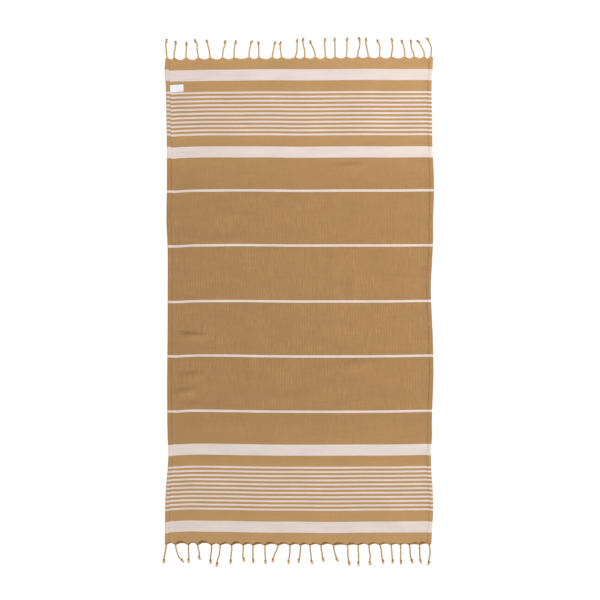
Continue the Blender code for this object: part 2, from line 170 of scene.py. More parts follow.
FOOT_TASSELS = (
    Tassel(-0.453, -0.0013, -0.0044, -0.0078, -0.0084, 0.063, 0.34, 1.2),
    Tassel(-0.421, 0.0016, 0.0060, 0.0120, 0.0270, 0.059, 0.96, 0.9),
    Tassel(-0.378, 0.0007, 0.0011, 0.0023, 0.0010, 0.061, -0.30, 3.2),
    Tassel(-0.346, 0.0018, 0.0052, 0.0059, 0.0072, 0.051, 1.00, 2.5),
    Tassel(-0.299, 0.0, -0.0017, -0.0038, -0.0037, 0.064, 0.28, 1.1),
    Tassel(-0.269, -0.0020, -0.0045, -0.0105, -0.0130, 0.073, 0.44, 0.2),
    Tassel(-0.231, 0.0009, -0.0013, -0.0030, -0.0034, 0.063, 0.81, 1.2),
    Tassel(-0.191, -0.0003, -0.0010, -0.0011, 0.0028, 0.056, 0.51, 0.4),
    Tassel(-0.157, -0.0015, -0.0013, -0.0015, -0.0006, 0.061, 0.74, -0.5),
    Tassel(-0.118, 0.0007, 0.0007, 0.0027, 0.0030, 0.063, 0.76, -0.1),
    Tassel(-0.072, -0.0048, -0.0114, -0.0163, -0.0188, 0.058, 0.48, 0.0),
    Tassel(-0.032, -0.0008, -0.0013, -0.0038, -0.0050, 0.063, 0.56, 0.2),
    Tassel(0.004, -0.0009, -0.0024, -0.0037, -0.0075, 0.059, 0.58, 0.2),
    Tassel(0.036, 0.0002, 0.0027, 0.0041, 0.0081, 0.063, 0.42, -0.1),
    Tassel(0.073, 0.0007, 0.0037, 0.0048, 0.0086, 0.056, 0.64, -0.1),
    Tassel(0.116, 0.0010, 0.0046, 0.0092, 0.0145, 0.056, 1.00, -2.5),
    Tassel(0.163, 0.0014, 0.0015, 0.0040, 0.0060, 0.070, 0.70, -1.9),
    Tassel(0.200, -0.0007, 0.0008, 0.0008, 0.0010, 0.070, 0.42, 0.0),
    Tassel(0.236, 0.0010, 0.0040, 0.0034, 0.0039, 0.068, 0.41, 0.1),
    Tassel(0.273, 0.0045, 0.0059, 0.0083, 0.0121, 0.064, 0.38, -0.4),
    Tassel(0.311, 0.0023, 0.0033, 0.0042, 0.0058, 0.063, 0.28, -0.7),
    Tassel(0.343, 0.0011, 0.0012, 0.0005, 0.0023, 0.066, 0.14, -0.5),
    Tassel(0.373, 0.0025, 0.0031, 0.0060, 0.0110, 0.063, -0.85, -2.1),
    Tassel(0.408, 0.0004, 0.0004, 0.0020, 0.0058, 0.063, 0.95, -0.9),
    Tassel(0.441, 0.0022, 0.0024, -0.0013, -0.0034, 0.070, 0.00, 0.0),
)

# The label stands on the drawing's point LABEL_CENTRE, so its solid shows how far the packed
# part's frame lies from the drawing's
LABEL_LOW, LABEL_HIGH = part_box("label")
INTO_FRAME = Matrix.Translation(
    (
        (LABEL_LOW.x + LABEL_HIGH.x) / 2 - LABEL_CENTRE[0],
        (LABEL_LOW.y + LABEL_HIGH.y) / 2 - LABEL_CENTRE[1],
        0.0,
    )
)

# ---------------------------------------------------------------- sizes of the looks alone

# The stripes across the towel: how far the middle of each lies from the towel's middle, to
# both ends alike, and how wide it is
Stripe = namedtuple("Stripe", "middle width")
LONE_STRIPES = (
    Stripe(0.0, 0.0078),
    Stripe(0.1880, 0.0078),
    Stripe(0.3755, 0.0078),
    Stripe(0.5065, 0.0378),
    Stripe(0.7695, 0.0376),
)
GROUP_FROM, GROUP_TO, GROUP_STRIPES, GROUP_STRIPE = 0.5633, 0.7128, 11, 0.0064
# The borders are beaten in less closely, so their tan is paler. It changes slowly at first
# between the first two of these, and the last share of the change comes between the others
BORDER_FROM, BORDER_FULL = 0.250, 0.570
OUTER_FROM, OUTER_FULL, OUTER_SHARE = 0.700, 0.800, 0.17

# How many millimetres the weft has drifted to the head, row by row at these distances from
# the middle line. The towel lies by hand, so no stripe runs quite straight
DRIFT_ACROSS = (-0.42, -0.37, -0.31, -0.22, -0.11, 0.0, 0.11, 0.22, 0.32, 0.41)
Weft = namedtuple("Weft", "along drift")
WEFT = (
    Weft(0.7695, (-1.1, -1.2, 0.1, 0.4, 1.1, 0.3, 0.4, 0.9, -0.2, -0.5)),
    Weft(0.5065, (-0.9, 1.0, 2.1, 1.7, 1.7, 0.1, 0.9, 1.2, 0.7, 1.2)),
    Weft(0.3755, (-2.7, 0.2, 1.0, 1.8, 1.3, 0.0, 0.7, 1.1, 0.9, 1.8)),
    Weft(0.1880, (-1.7, 1.3, 2.3, 3.2, 2.5, 1.3, 1.7, 1.8, 1.9, 2.5)),
    Weft(0.0, (-2.6, -0.1, 0.7, 1.0, 0.1, -0.8, -0.5, -0.6, -0.1, 1.2)),
    Weft(-0.1880, (-1.1, 1.9, 2.9, 2.6, 1.1, 0.6, 0.3, 0.3, 0.7, 1.7)),
    Weft(-0.3755, (-1.6, 1.8, 2.2, 1.7, 0.5, 0.3, -0.2, -0.4, -0.2, 0.8)),
    Weft(-0.5065, (-0.7, 2.1, 2.7, 1.9, 0.7, 0.3, 0.3, 0.4, -0.1, 0.7)),
    Weft(-0.7695, (1.5, 4.2, 3.7, 3.4, 1.7, 1.8, 0.3, 1.3, 1.0, 0.6)),
)

# How far the sewing has drawn the left hem's weft to the foot, at these places along it
HEM_DRAWN_AT = (-0.83, -0.77, -0.70, -0.64, -0.58, -0.5065, -0.43, 0.83)
HEM_DRAWN = (0.0042, 0.0040, 0.0032, 0.0026, 0.0022, 0.0030, 0.0, 0.0)

# How far the weft has slipped to the head on each hem, and to the foot beside the left one.
# Each slip starts and is full at these distances from the middle of the towel's length. The
# right one is at both ends, and the others at the head
Slip = namedtuple("Slip", "far start full")
RIGHT_SLIP = Slip(-0.0011, 0.42, 0.52)
LEFT_SLIP = Slip(0.0020, 0.44, 0.57)
BESIDE_SLIP = Slip(0.0014, 0.38, 0.50)
# How far in from the side the hem's slip, the one beside it and the drawn weft reach, and how
# far before that each begins to fade
HEM_SLIP_REACH, HEM_SLIP_FADE = 0.0150, 0.0012
BESIDE_REACH, BESIDE_FADE = 0.045, 0.030
DRAWN_REACH, DRAWN_FADE = 0.024, 0.018

# The cloth's uneven lie: how high its waves are and how long they are across and along, with
# the layer of noise that each is read from. They fade out before the ends
Wave = namedtuple("Wave", "height across along layer")
LIE = (Wave(0.0009, 0.16, 0.10, 0.7), Wave(0.0003, 0.06, 0.035, 4.2))
LIE_FADE = 0.05

# Grid of the cloth
BODY_COLUMNS = 78
FLAT_INSET = 0.030  # where the hem's columns end and the body's begin
CLOTH_ROWS = 322  # between the gathered ends
GATHERED = 0.020  # how far in from the roots each end is gathered
FLAT_END = CLOTH_LENGTH / 2 - GATHERED
GATHERED_ROWS = (0.25, 0.48, 0.57, 0.65, 0.73, 0.81, 0.88, 0.94, 1.0)  # as shares of that depth
FINE_FROM = CLOTH_LENGTH / 2 - 0.0210  # from here to the ends its columns are cut in four
FINE_CUTS = 3
FINE_BEYOND = 5  # how many of each hem's columns are cut too

SEAM_INSET = 0.0117  # where the hem is sewn, from the side
SEAM_DEPTH = 0.0003  # how deep the sewing pulls it in
FOLD_SLACK = 0.00005  # between two layers of a fold
# The line of painted shade in the tan beside each hem's turned edge: where it lies, how wide it
# is, and how dark the tan gets in it
HEM_SHADE_BESIDE = 0.0008  # from the turned edge of a hem to the line of painted shade beside it
HEM_SHADE_WIDTH = 0.0020  # of either half of that line
PAINTED_HEM_SHADE = 0.78
YARN_PITCH = 0.0024  # of the weave as it is drawn
RIB_PITCH = 0.0096  # of the thicker warp as it is drawn
ROLL = 0.0092  # how much of a gathered edge can roll up
ROLL_STEPS = 12
TIGHTEST_ROLL = math.radians(150.0)  # how far it then turns


# ---------------------------------------------------------------- shapes


def ease(value, start, end):
    """0 up to start and 1 from end, with a smooth rise between them."""
    share = min(1.0, max(0.0, (value - start) / (end - start)))
    return share * share * (3.0 - 2.0 * share)


def through(stations, values, at):
    """A smooth curve through the values, which stand at rising stations, read at one place."""
    last = len(stations) - 1
    index = sum(station <= at for station in stations[1:last])
    slopes = []
    for here in (index, index + 1):
        before, after = max(here - 1, 0), min(here + 1, last)
        slopes.append((values[after] - values[before]) / (stations[after] - stations[before]))
    span = stations[index + 1] - stations[index]
    t = min(1.0, max(0.0, (at - stations[index]) / span))
    return (
        values[index] * (1 + 2 * t) * (1 - t) ** 2
        + values[index + 1] * t * t * (3 - 2 * t)
        + slopes[0] * span * t * (1 - t) ** 2
        - slopes[1] * span * t * t * (1 - t)
    )


def spread(start, end, steps):
    """Evenly spaced numbers from start to end."""
    return [start + (end - start) * step / steps for step in range(steps + 1)]


SIDE_STATIONS = [row.along for row in reversed(SIDES)]
LEFT_SIDE = [row.left for row in reversed(SIDES)]
RIGHT_SIDE = [row.right for row in reversed(SIDES)]


def side_at(x, along):
    """How far the side that x is on lies from the middle line."""
    return through(SIDE_STATIONS, RIGHT_SIDE if x > 0 else LEFT_SIDE, along)


def place(x, along):
    """Where a point of the weave lies, x metres from the middle line."""
    across = x / side_at(x, along)
    lean = HEAD_LEAN * across * ease(along, HEAD_LEAN_FROM, HEAD_LEAN_TO)
    bow = FOOT_BOW * across**2 * ease(-along, FOOT_BOW_FROM, FOOT_BOW_TO)
    return x, along + lean + bow


def lift(x, y, creases):
    """How high these creases hold the cloth off the surface."""
    height = 0.0
    for crease in creases:
        dx, dy = x - crease.x, y - crease.y
        if abs(dx) + abs(dy) > crease.length + crease.width:
            continue
        turn = math.radians(crease.turn)
        lengthwise = (dx * math.cos(turn) + dy * math.sin(turn)) / (crease.length / 2)
        sideways = (dy * math.cos(turn) - dx * math.sin(turn)) / (crease.width / 2)
        if abs(lengthwise) < 1 and abs(sideways) < 1:
            crest = crease.lean
            down = (sideways - crest) / (1 - crest if sideways > crest else 1 + crest)
            height += (
                crease.height
                * math.cos(math.pi / 2 * lengthwise) ** 2
                * math.cos(math.pi / 2 * down) ** 2
            )
    return height


def ground(x, y):
    """The height of the cloth's underside: its creases, its puckers and its uneven lie."""
    lie = 0.0
    for wave in LIE:
        spot = Vector((x / wave.across, y / wave.along, wave.layer))
        lie += wave.height * (0.5 + 0.5 * noise.noise(spot))
    lie *= ease(CLOTH_LENGTH / 2 - abs(y), 0.0, LIE_FADE)
    return lift(x, y, CREASES) + lift(x, y, PUCKERS) + lie


def scallop(x, tassels, along):
    """The gathered edge at x: how far it falls back from the roots, and the angle it rolls to."""
    first, last = tassels[0].root, tassels[-1].root
    if x <= first:
        return CORNER_FALL * ease(first - x, 0.0, side_at(x, along) + first), 0.0
    if x >= last:
        return CORNER_FALL * ease(x - last, 0.0, side_at(x, along) - last), 0.0
    for here, following in zip(tassels, tassels[1:]):
        if x <= following.root:
            break
    start, end = here.root + ROOT_WIDTH / 2, following.root - ROOT_WIDTH / 2
    share = min(1.0, max(0.0, (x - start) / (end - start)))
    depth = min(DEEPEST_SCALLOP, SCALLOP_SHARE * (following.root - here.root))
    depth += here.dip / 1000
    # A cord's ply pulls the edge up, so it rolls furthest beside the cord that pulls harder:
    # a third of the way from it, where pulled is 1
    nearest = share if here.curl > 0 else 1 - share
    pulled = 6.75 * nearest * (1 - nearest) ** 2
    return depth * (1 - (2 * share - 1) ** 2), TIGHTEST_ROLL * abs(here.curl) * pulled


def rolled(share, angle):
    """How far out and up a point of the roll lies. The roll tightens as it turns to its angle."""
    outwards = upwards = 0.0
    for step in range(ROLL_STEPS):
        turn = angle * (share * (step + 0.5) / ROLL_STEPS) ** 2
        outwards += math.cos(turn) * share / ROLL_STEPS
        upwards += math.sin(turn) * share / ROLL_STEPS
    return ROLL * outwards, ROLL * upwards


# ---------------------------------------------------------------- tools for meshes and materials

SHARP_FROM = math.radians(50.0)  # from this angle on, an edge isn't shaded smooth


def linear(hex_colour):
    """A colour given as sRGB hex, as the linear numbers that Blender works with."""
    parts = [int(hex_colour[start : start + 2], 16) / 255 for start in (1, 3, 5)]
    return [p / 12.92 if p <= 0.04045 else ((p + 0.055) / 1.055) ** 2.4 for p in parts]


def fill_sockets(node, sockets):
    """Gives the node's sockets, by name or in order, a value or a link to another's output."""
    for key, value in sockets.items() if isinstance(sockets, dict) else enumerate(sockets):
        if isinstance(value, bpy.types.NodeSocket):
            node.id_data.links.new(value, node.inputs[key])
        else:
            node.inputs[key].default_value = value


def add_node(tree, kind, sockets=(), output=0, **settings):
    """Adds a node with these settings, values and links. Returns one of its outputs."""
    node = tree.nodes.new("ShaderNode" + kind)
    for name, value in settings.items():
        setattr(node, name, value)
    fill_sockets(node, sockets)
    return node.outputs[output]


def new_material(name):
    """A material, add_node for its tree, and its Principled shader."""
    material = bpy.data.materials.new(name)
    material.use_nodes = True
    tree = material.node_tree
    return material, partial(add_node, tree), tree.nodes["Principled BSDF"]


def keep_weave_as_uv(mesh):
    """Turns the layer that says where each point is in the flat weave into a UV map."""
    weave = mesh.verts.layers.float_vector["weave"]
    uv = mesh.loops.layers.uv.new("weave")
    for face in mesh.faces:
        for loop in face.loops:
            loop[uv].uv = loop.vert[weave].xy
    mesh.verts.layers.float_vector.remove(weave)


def finish_mesh(name, mesh):
    """Turns the bmesh into a mesh that an object can have, and frees it."""
    data = bpy.data.meshes.new(name)
    mesh.to_mesh(data)
    mesh.free()
    return data


def add_object(name, data):
    """Adds an object with this data to the scene."""
    made = bpy.data.objects.new(name, data)
    bpy.context.scene.collection.objects.link(made)
    return made


def finish_piece(name, mesh, material):
    """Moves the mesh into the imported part's frame and makes it a piece of the towel."""
    bmesh.ops.transform(mesh, matrix=INTO_FRAME, verts=mesh.verts[:])
    data = finish_mesh(name, mesh)
    data.shade_smooth()
    data.set_sharp_from_angle(angle=SHARP_FROM)
    data.materials.append(material)
    piece = add_object(name, data)
    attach(piece, "root")
    return piece


def strand_template(sides, rings):
    """A straight closed tube of radius 1, its rings at z = 0, 1, 2 and so on."""
    mesh = bmesh.new()
    bmesh.ops.create_cone(
        mesh,
        cap_ends=True,
        segments=sides,
        radius1=1.0,
        radius2=1.0,
        depth=rings - 1,
        matrix=Matrix.Translation((0.0, 0.0, (rings - 1) / 2)),
    )
    upright = [e for e in mesh.edges if abs(e.verts[0].co.z - e.verts[1].co.z) > 0.5]
    bmesh.ops.subdivide_edges(mesh, edges=upright, cuts=rings - 2)
    return finish_mesh("strand", mesh)


def distances_along(points):
    """How far along the line through these points each of them lies."""
    distances = [0.0]
    for here, following in zip(points, points[1:]):
        distances.append(distances[-1] + (following - here).length)
    return distances


def frames_along(path):
    """Each point of a path, and two directions square to it that turn as little as they can."""
    made = []
    above = Vector((0.0, 0.0, 1.0))
    for index, point in enumerate(path):
        ahead = path[min(index + 1, len(path) - 1)] - path[max(index - 1, 0)]
        ahead.normalize()
        above = (above - ahead * above.dot(ahead)).normalized()
        made.append((point, above.cross(ahead), above))
    return made


def add_strand(mesh, template, path, radii, turns_per_metre=0.0, tone=0.0):
    """Bends a copy of the template along the path, with a radius for each of its points.

    Where the mesh has a fibre layer, it says where each point is in the strand laid out
    straight and untwisted. tone shifts it along, so that no two strands look alike."""
    first = len(mesh.verts)
    mesh.from_mesh(template)
    mesh.verts.ensure_lookup_table()
    fibre = mesh.verts.layers.float_vector.get("fibre")
    frames = frames_along(path)
    travelled = distances_along(path)
    for vert in mesh.verts[first:]:
        ring = round(vert.co.z)
        centre, beside, above = frames[ring]
        across, up = vert.co.x, vert.co.y
        if fibre is not None:
            turn = math.tau * turns_per_metre * travelled[ring]
            vert[fibre] = (
                radii[ring] * (across * math.cos(turn) - up * math.sin(turn)),
                radii[ring] * (across * math.sin(turn) + up * math.cos(turn)),
                travelled[ring] + tone,
            )
        vert.co = centre + radii[ring] * (across * beside + up * above)


def resample(points, count):
    """Evenly spaced points on a smooth curve through these."""
    stations = distances_along(points)
    columns = [[point[axis] for point in points] for axis in range(3)]
    return [
        Vector([through(stations, column, at) for column in columns])
        for at in spread(0.0, stations[-1], count - 1)
    ]


# ---------------------------------------------------------------- settings


def length_property(name, description, default, low, high):
    """A size in metres that a user can change."""
    return FloatProperty(
        name=name,
        description=description,
        default=default,
        min=low,
        max=high,
        precision=5,
        unit="LENGTH",
    )


def colour_property(name, description, hex_colour):
    """A colour that a user can change."""
    return FloatVectorProperty(
        name=name,
        description=description,
        default=linear(hex_colour),
        min=0.0,
        max=1.0,
        subtype="COLOR",
    )


class TOWEL_PG_cloth(bpy.types.PropertyGroup):
    """The woven sheet"""

    thickness: length_property("Thickness", "Thickness of the flat weave", 0.00042, 0.0003, 0.002)
    hem_width: length_property(
        "Hem width", "Width of the turned hem of each side", 0.0143, 0.008, 0.03
    )
    body_tan: colour_property("Body tan", "The dyed yarn between the inner bands", "#A67F51")
    border_tan: colour_property("Border tan", "The dyed yarn outside the outer bands", "#B99160")
    cream: colour_property("Cream", "The undyed weft of the stripes", "#DFD1C9")


class TOWEL_PG_fringe(bpy.types.PropertyGroup):
    """The plied cords"""

    ply_radius: length_property(
        "Ply radius", "Radius of a cord's two plies", 0.00130, 0.0005, 0.003
    )
    ply_offset: length_property(
        "Ply offset", "From the cord's middle line to that of each ply", 0.00117, 0.0005, 0.003
    )
    pitch: length_property("Pitch", "Length of one full turn of the plies", 0.0100, 0.004, 0.03)
    foot_stoutness: FloatProperty(
        name="Foot stoutness",
        description="How many times as thick as the head's cords the foot's are",
        default=1.07,
        min=0.8,
        max=1.3,
    )
    yarn: colour_property("Yarn", "The dyed warp yarn of the cords", "#C0964A")


class TOWEL_PG_stitching(bpy.types.PropertyGroup):
    """The hems' lockstitch"""

    pitch: length_property("Stitch length", "Between two needle holes", 0.0032, 0.0015, 0.006)
    thread: length_property(
        "Thread radius", "Radius of the sewing thread", 0.00015, 0.0001, 0.0006
    )
    colour: colour_property("Thread colour", "The sewing thread", "#A98358")


class TOWEL_PG_label(bpy.types.PropertyGroup):
    """The sewn label"""

    width: length_property("Width", "How far it shows beside the hem", 0.0443, 0.02, 0.08)
    depth: length_property("Depth", "Width of its tape", 0.0245, 0.01, 0.05)
    thickness: length_property("Thickness", "Thickness of its tape", 0.00025, 0.0001, 0.001)
    colour: colour_property("Tape colour", "The satin tape", "#EFEFF5")


class TOWEL_PG_stage(bpy.types.PropertyGroup):
    """Floor, lights and camera"""

    key_strength: FloatProperty(
        name="Key light",
        description="Strength of the broad, far light beyond the towel's foot",
        default=3.18,
        min=0.0,
    )
    fill_power: FloatProperty(
        name="Fill light",
        description="Power of the soft light to the towel's right",
        default=98.0,
        min=0.0,
        unit="POWER",
    )
    camera_height: length_property("Camera height", "Height over the floor", 4.8167, 1.0, 20.0)


# ---------------------------------------------------------------- the cloth

# Where the hem's section has its points, as distances from the side: in the layer beside and
# under it, and on top of it. Others are this far to either side of its seam, and at the raw
# edge that is folded in
INSETS_BESIDE = (FLAT_INSET, 0.0255, 0.0215, 0.0180, 0.0158, 0.0149, 0.0143, 0.0136, 0.0060)
INSETS_ON_TOP = (0.0045, 0.0085)
BESIDE_SEAM = 0.0008
RAW_EDGE = 0.0060
# How high the cloth is pushed up against the hem's turned edge, how far from that edge it is
# highest, and where it lies flat again
PUSHED_UP, PUSHED_CREST, PUSHED_REACH = 0.0005, 0.0008, 0.0157
Column = namedtuple("Column", "share inset height u")


def arc(middle, radius, start, end, steps):
    """Points (inset, height) of an arc. An angle of 0 points out of the side, 90 points up."""
    angles = [math.radians(angle) for angle in spread(start, end, steps)]
    return [
        (middle[0] - radius * math.cos(angle), middle[1] + radius * math.sin(angle))
        for angle in angles
    ]


def rise_beside(inset, hem_width):
    """How high the cloth is pushed up against the turned edge of a hem, this far in."""
    beyond = inset - hem_width
    rise = PUSHED_UP * ease(beyond, -PUSHED_CREST / 2, PUSHED_CREST)
    return rise * (1 - ease(beyond, PUSHED_CREST, PUSHED_REACH))


def hem_section(thickness, width):
    """The outer face of the turned hem, from the body to the raw edge, as (inset, height)."""
    height = 3 * thickness + 2 * FOLD_SLACK
    outer = height / 2
    inner = thickness + FOLD_SLACK / 2
    turn = width - inner
    beside = [(inset, rise_beside(inset, width)) for inset in INSETS_BESIDE]
    return [
        *beside,
        *arc((outer, outer), outer, -90.0, 90.0, 5),
        *((inset, height) for inset in INSETS_ON_TOP),
        (SEAM_INSET - BESIDE_SEAM, height),
        (SEAM_INSET, height - SEAM_DEPTH),
        (SEAM_INSET + BESIDE_SEAM, height),
        *arc((turn, height - inner), inner, 90.0, 270.0, 4),
        (RAW_EDGE, height - 2 * inner),
    ]


WEFT_STATIONS = [row.along for row in reversed(WEFT)]
NOMINAL_SIDE = sum(LEFT_SIDE + RIGHT_SIDE) / len(LEFT_SIDE + RIGHT_SIDE)


def cloth_columns(thickness, hem_width):
    """The columns of the cloth's grid, from its left raw edge to its right one."""
    section = hem_section(thickness, hem_width)
    flat_half = NOMINAL_SIDE - FLAT_INSET
    travelled = [flat_half]
    for here, following in zip(section, section[1:]):
        travelled.append(travelled[-1] + math.dist(here, following))
    right = [Column(1, *point, u) for point, u in zip(section, travelled)]
    left = [Column(-1, *point, -u) for point, u in zip(section, travelled)]
    body = [
        Column(share, FLAT_INSET, 0.0, share * flat_half)
        for share in spread(-1.0, 1.0, BODY_COLUMNS)[1:-1]
    ]
    return left[::-1] + body + right


@cache
def drift_at(x):
    """The drift of the weft at each row of WEFT, foot first, this far from the middle line."""
    return [through(DRIFT_ACROSS, row.drift, x) / 1000 for row in reversed(WEFT)]


def hem_slip(side, inset, along):
    """How far the weft has slipped towards the head at this place, on the hems and beside them."""
    turned = ease(HEM_SLIP_REACH - inset, 0.0, HEM_SLIP_FADE)
    if side > 0:
        return RIGHT_SLIP.far * turned * ease(abs(along), RIGHT_SLIP.start, RIGHT_SLIP.full)
    slipped = LEFT_SLIP.far * turned * ease(along, LEFT_SLIP.start, LEFT_SLIP.full)
    beside = ease(BESIDE_REACH - inset, 0.0, BESIDE_FADE) * (1 - turned)
    back = BESIDE_SLIP.far * beside * ease(along, BESIDE_SLIP.start, BESIDE_SLIP.full)
    drawn = through(HEM_DRAWN_AT, HEM_DRAWN, along)
    return slipped - back - drawn * ease(DRAWN_REACH - inset, 0.0, DRAWN_FADE)


def blank_grid(column_count, rows):
    """A flat grid, whose x counts its columns. Near the cloth's ends it is cut finer across."""
    mesh = bmesh.new()
    bmesh.ops.create_grid(mesh, x_segments=column_count - 1, y_segments=len(rows) - 1, size=0.5)
    for vert in mesh.verts:
        row = round((vert.co.y + 0.5) * (len(rows) - 1))
        vert.co = ((vert.co.x + 0.5) * (column_count - 1), rows[row], 0.0)
    fine = []
    for edge in mesh.edges:
        start, end = (vert.co for vert in edge.verts)
        from_centre = abs((start.x + end.x) / 2 - (column_count - 1) / 2)
        if start.y == end.y and abs(start.y) > FINE_FROM:
            if from_centre < BODY_COLUMNS / 2 + FINE_BEYOND:
                fine.append(edge)
    bmesh.ops.subdivide_edges(mesh, edges=fine, cuts=FINE_CUTS, use_grid_fill=True)
    return mesh


def gather(x, along):
    """Where a gathered end draws this point of the flat cloth to, and how high it rolls it."""
    depth = (abs(along) - FLAT_END) / GATHERED
    if depth <= 0:
        return along, 0.0
    out = math.copysign(1.0, along)
    tassels = HEAD_TASSELS if out > 0 else FOOT_TASSELS
    fall, angle = scallop(x, tassels, out * CLOTH_LENGTH / 2)
    flat = GATHERED - fall - rolled(1.0, angle)[0]
    flat_depth = 1 - ROLL / GATHERED
    outwards, rise = rolled(max(0.0, (depth - flat_depth) / (1 - flat_depth)), angle)
    return out * (FLAT_END + flat * min(1.0, depth / flat_depth) + outwards), rise


def weave_grid(thickness, hem_width):
    """The cloth's outer face, laid in its creases, with its hems turned and its ends gathered."""
    columns = cloth_columns(thickness, hem_width)
    strip = [FLAT_END + GATHERED * depth for depth in GATHERED_ROWS]
    rows = [-along for along in reversed(strip)] + spread(-FLAT_END, FLAT_END, CLOTH_ROWS) + strip
    mesh = blank_grid(len(columns), rows)
    weave = mesh.verts.layers.float_vector.new("weave")
    for vert in mesh.verts:
        index = min(int(vert.co.x), len(columns) - 2)
        part = vert.co.x - index
        share, inset, height, u = (
            before * (1 - part) + after * part
            for before, after in zip(columns[index], columns[index + 1])
        )
        along = vert.co.y
        x = share * (side_at(share, along) - inset)
        from_side = side_at(share, along) - abs(x)
        drift = through(WEFT_STATIONS, drift_at(share * (NOMINAL_SIDE - inset)), along)
        vert[weave] = (u, along - drift - hem_slip(share, from_side, along), 0.0)
        along, rise = gather(x, along)
        x, y = place(x, along)
        vert.co = (x, y, height + rise + ground(x, y))
    return mesh


class TOWEL_OT_weave_cloth(bpy.types.Operator):
    """Weave the towel's sheet, with its creases, turned hems and gathered ends"""

    bl_idname = "towel.weave_cloth"
    bl_label = "Weave Cloth"

    def execute(self, context):
        settings = context.scene.towel_cloth
        mesh = weave_grid(settings.thickness, settings.hem_width)
        for face in mesh.faces:
            face.normal_update()
        middle = min(mesh.faces, key=lambda face: face.calc_center_median().length)
        if middle.normal.z > 0:
            bmesh.ops.reverse_faces(mesh, faces=mesh.faces[:])
        bmesh.ops.solidify(mesh, geom=mesh.faces[:], thickness=settings.thickness)
        keep_weave_as_uv(mesh)
        cloth = finish_piece("towel_cloth", mesh, woven_cotton(settings))
        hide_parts("cloth")
        return {"FINISHED"}


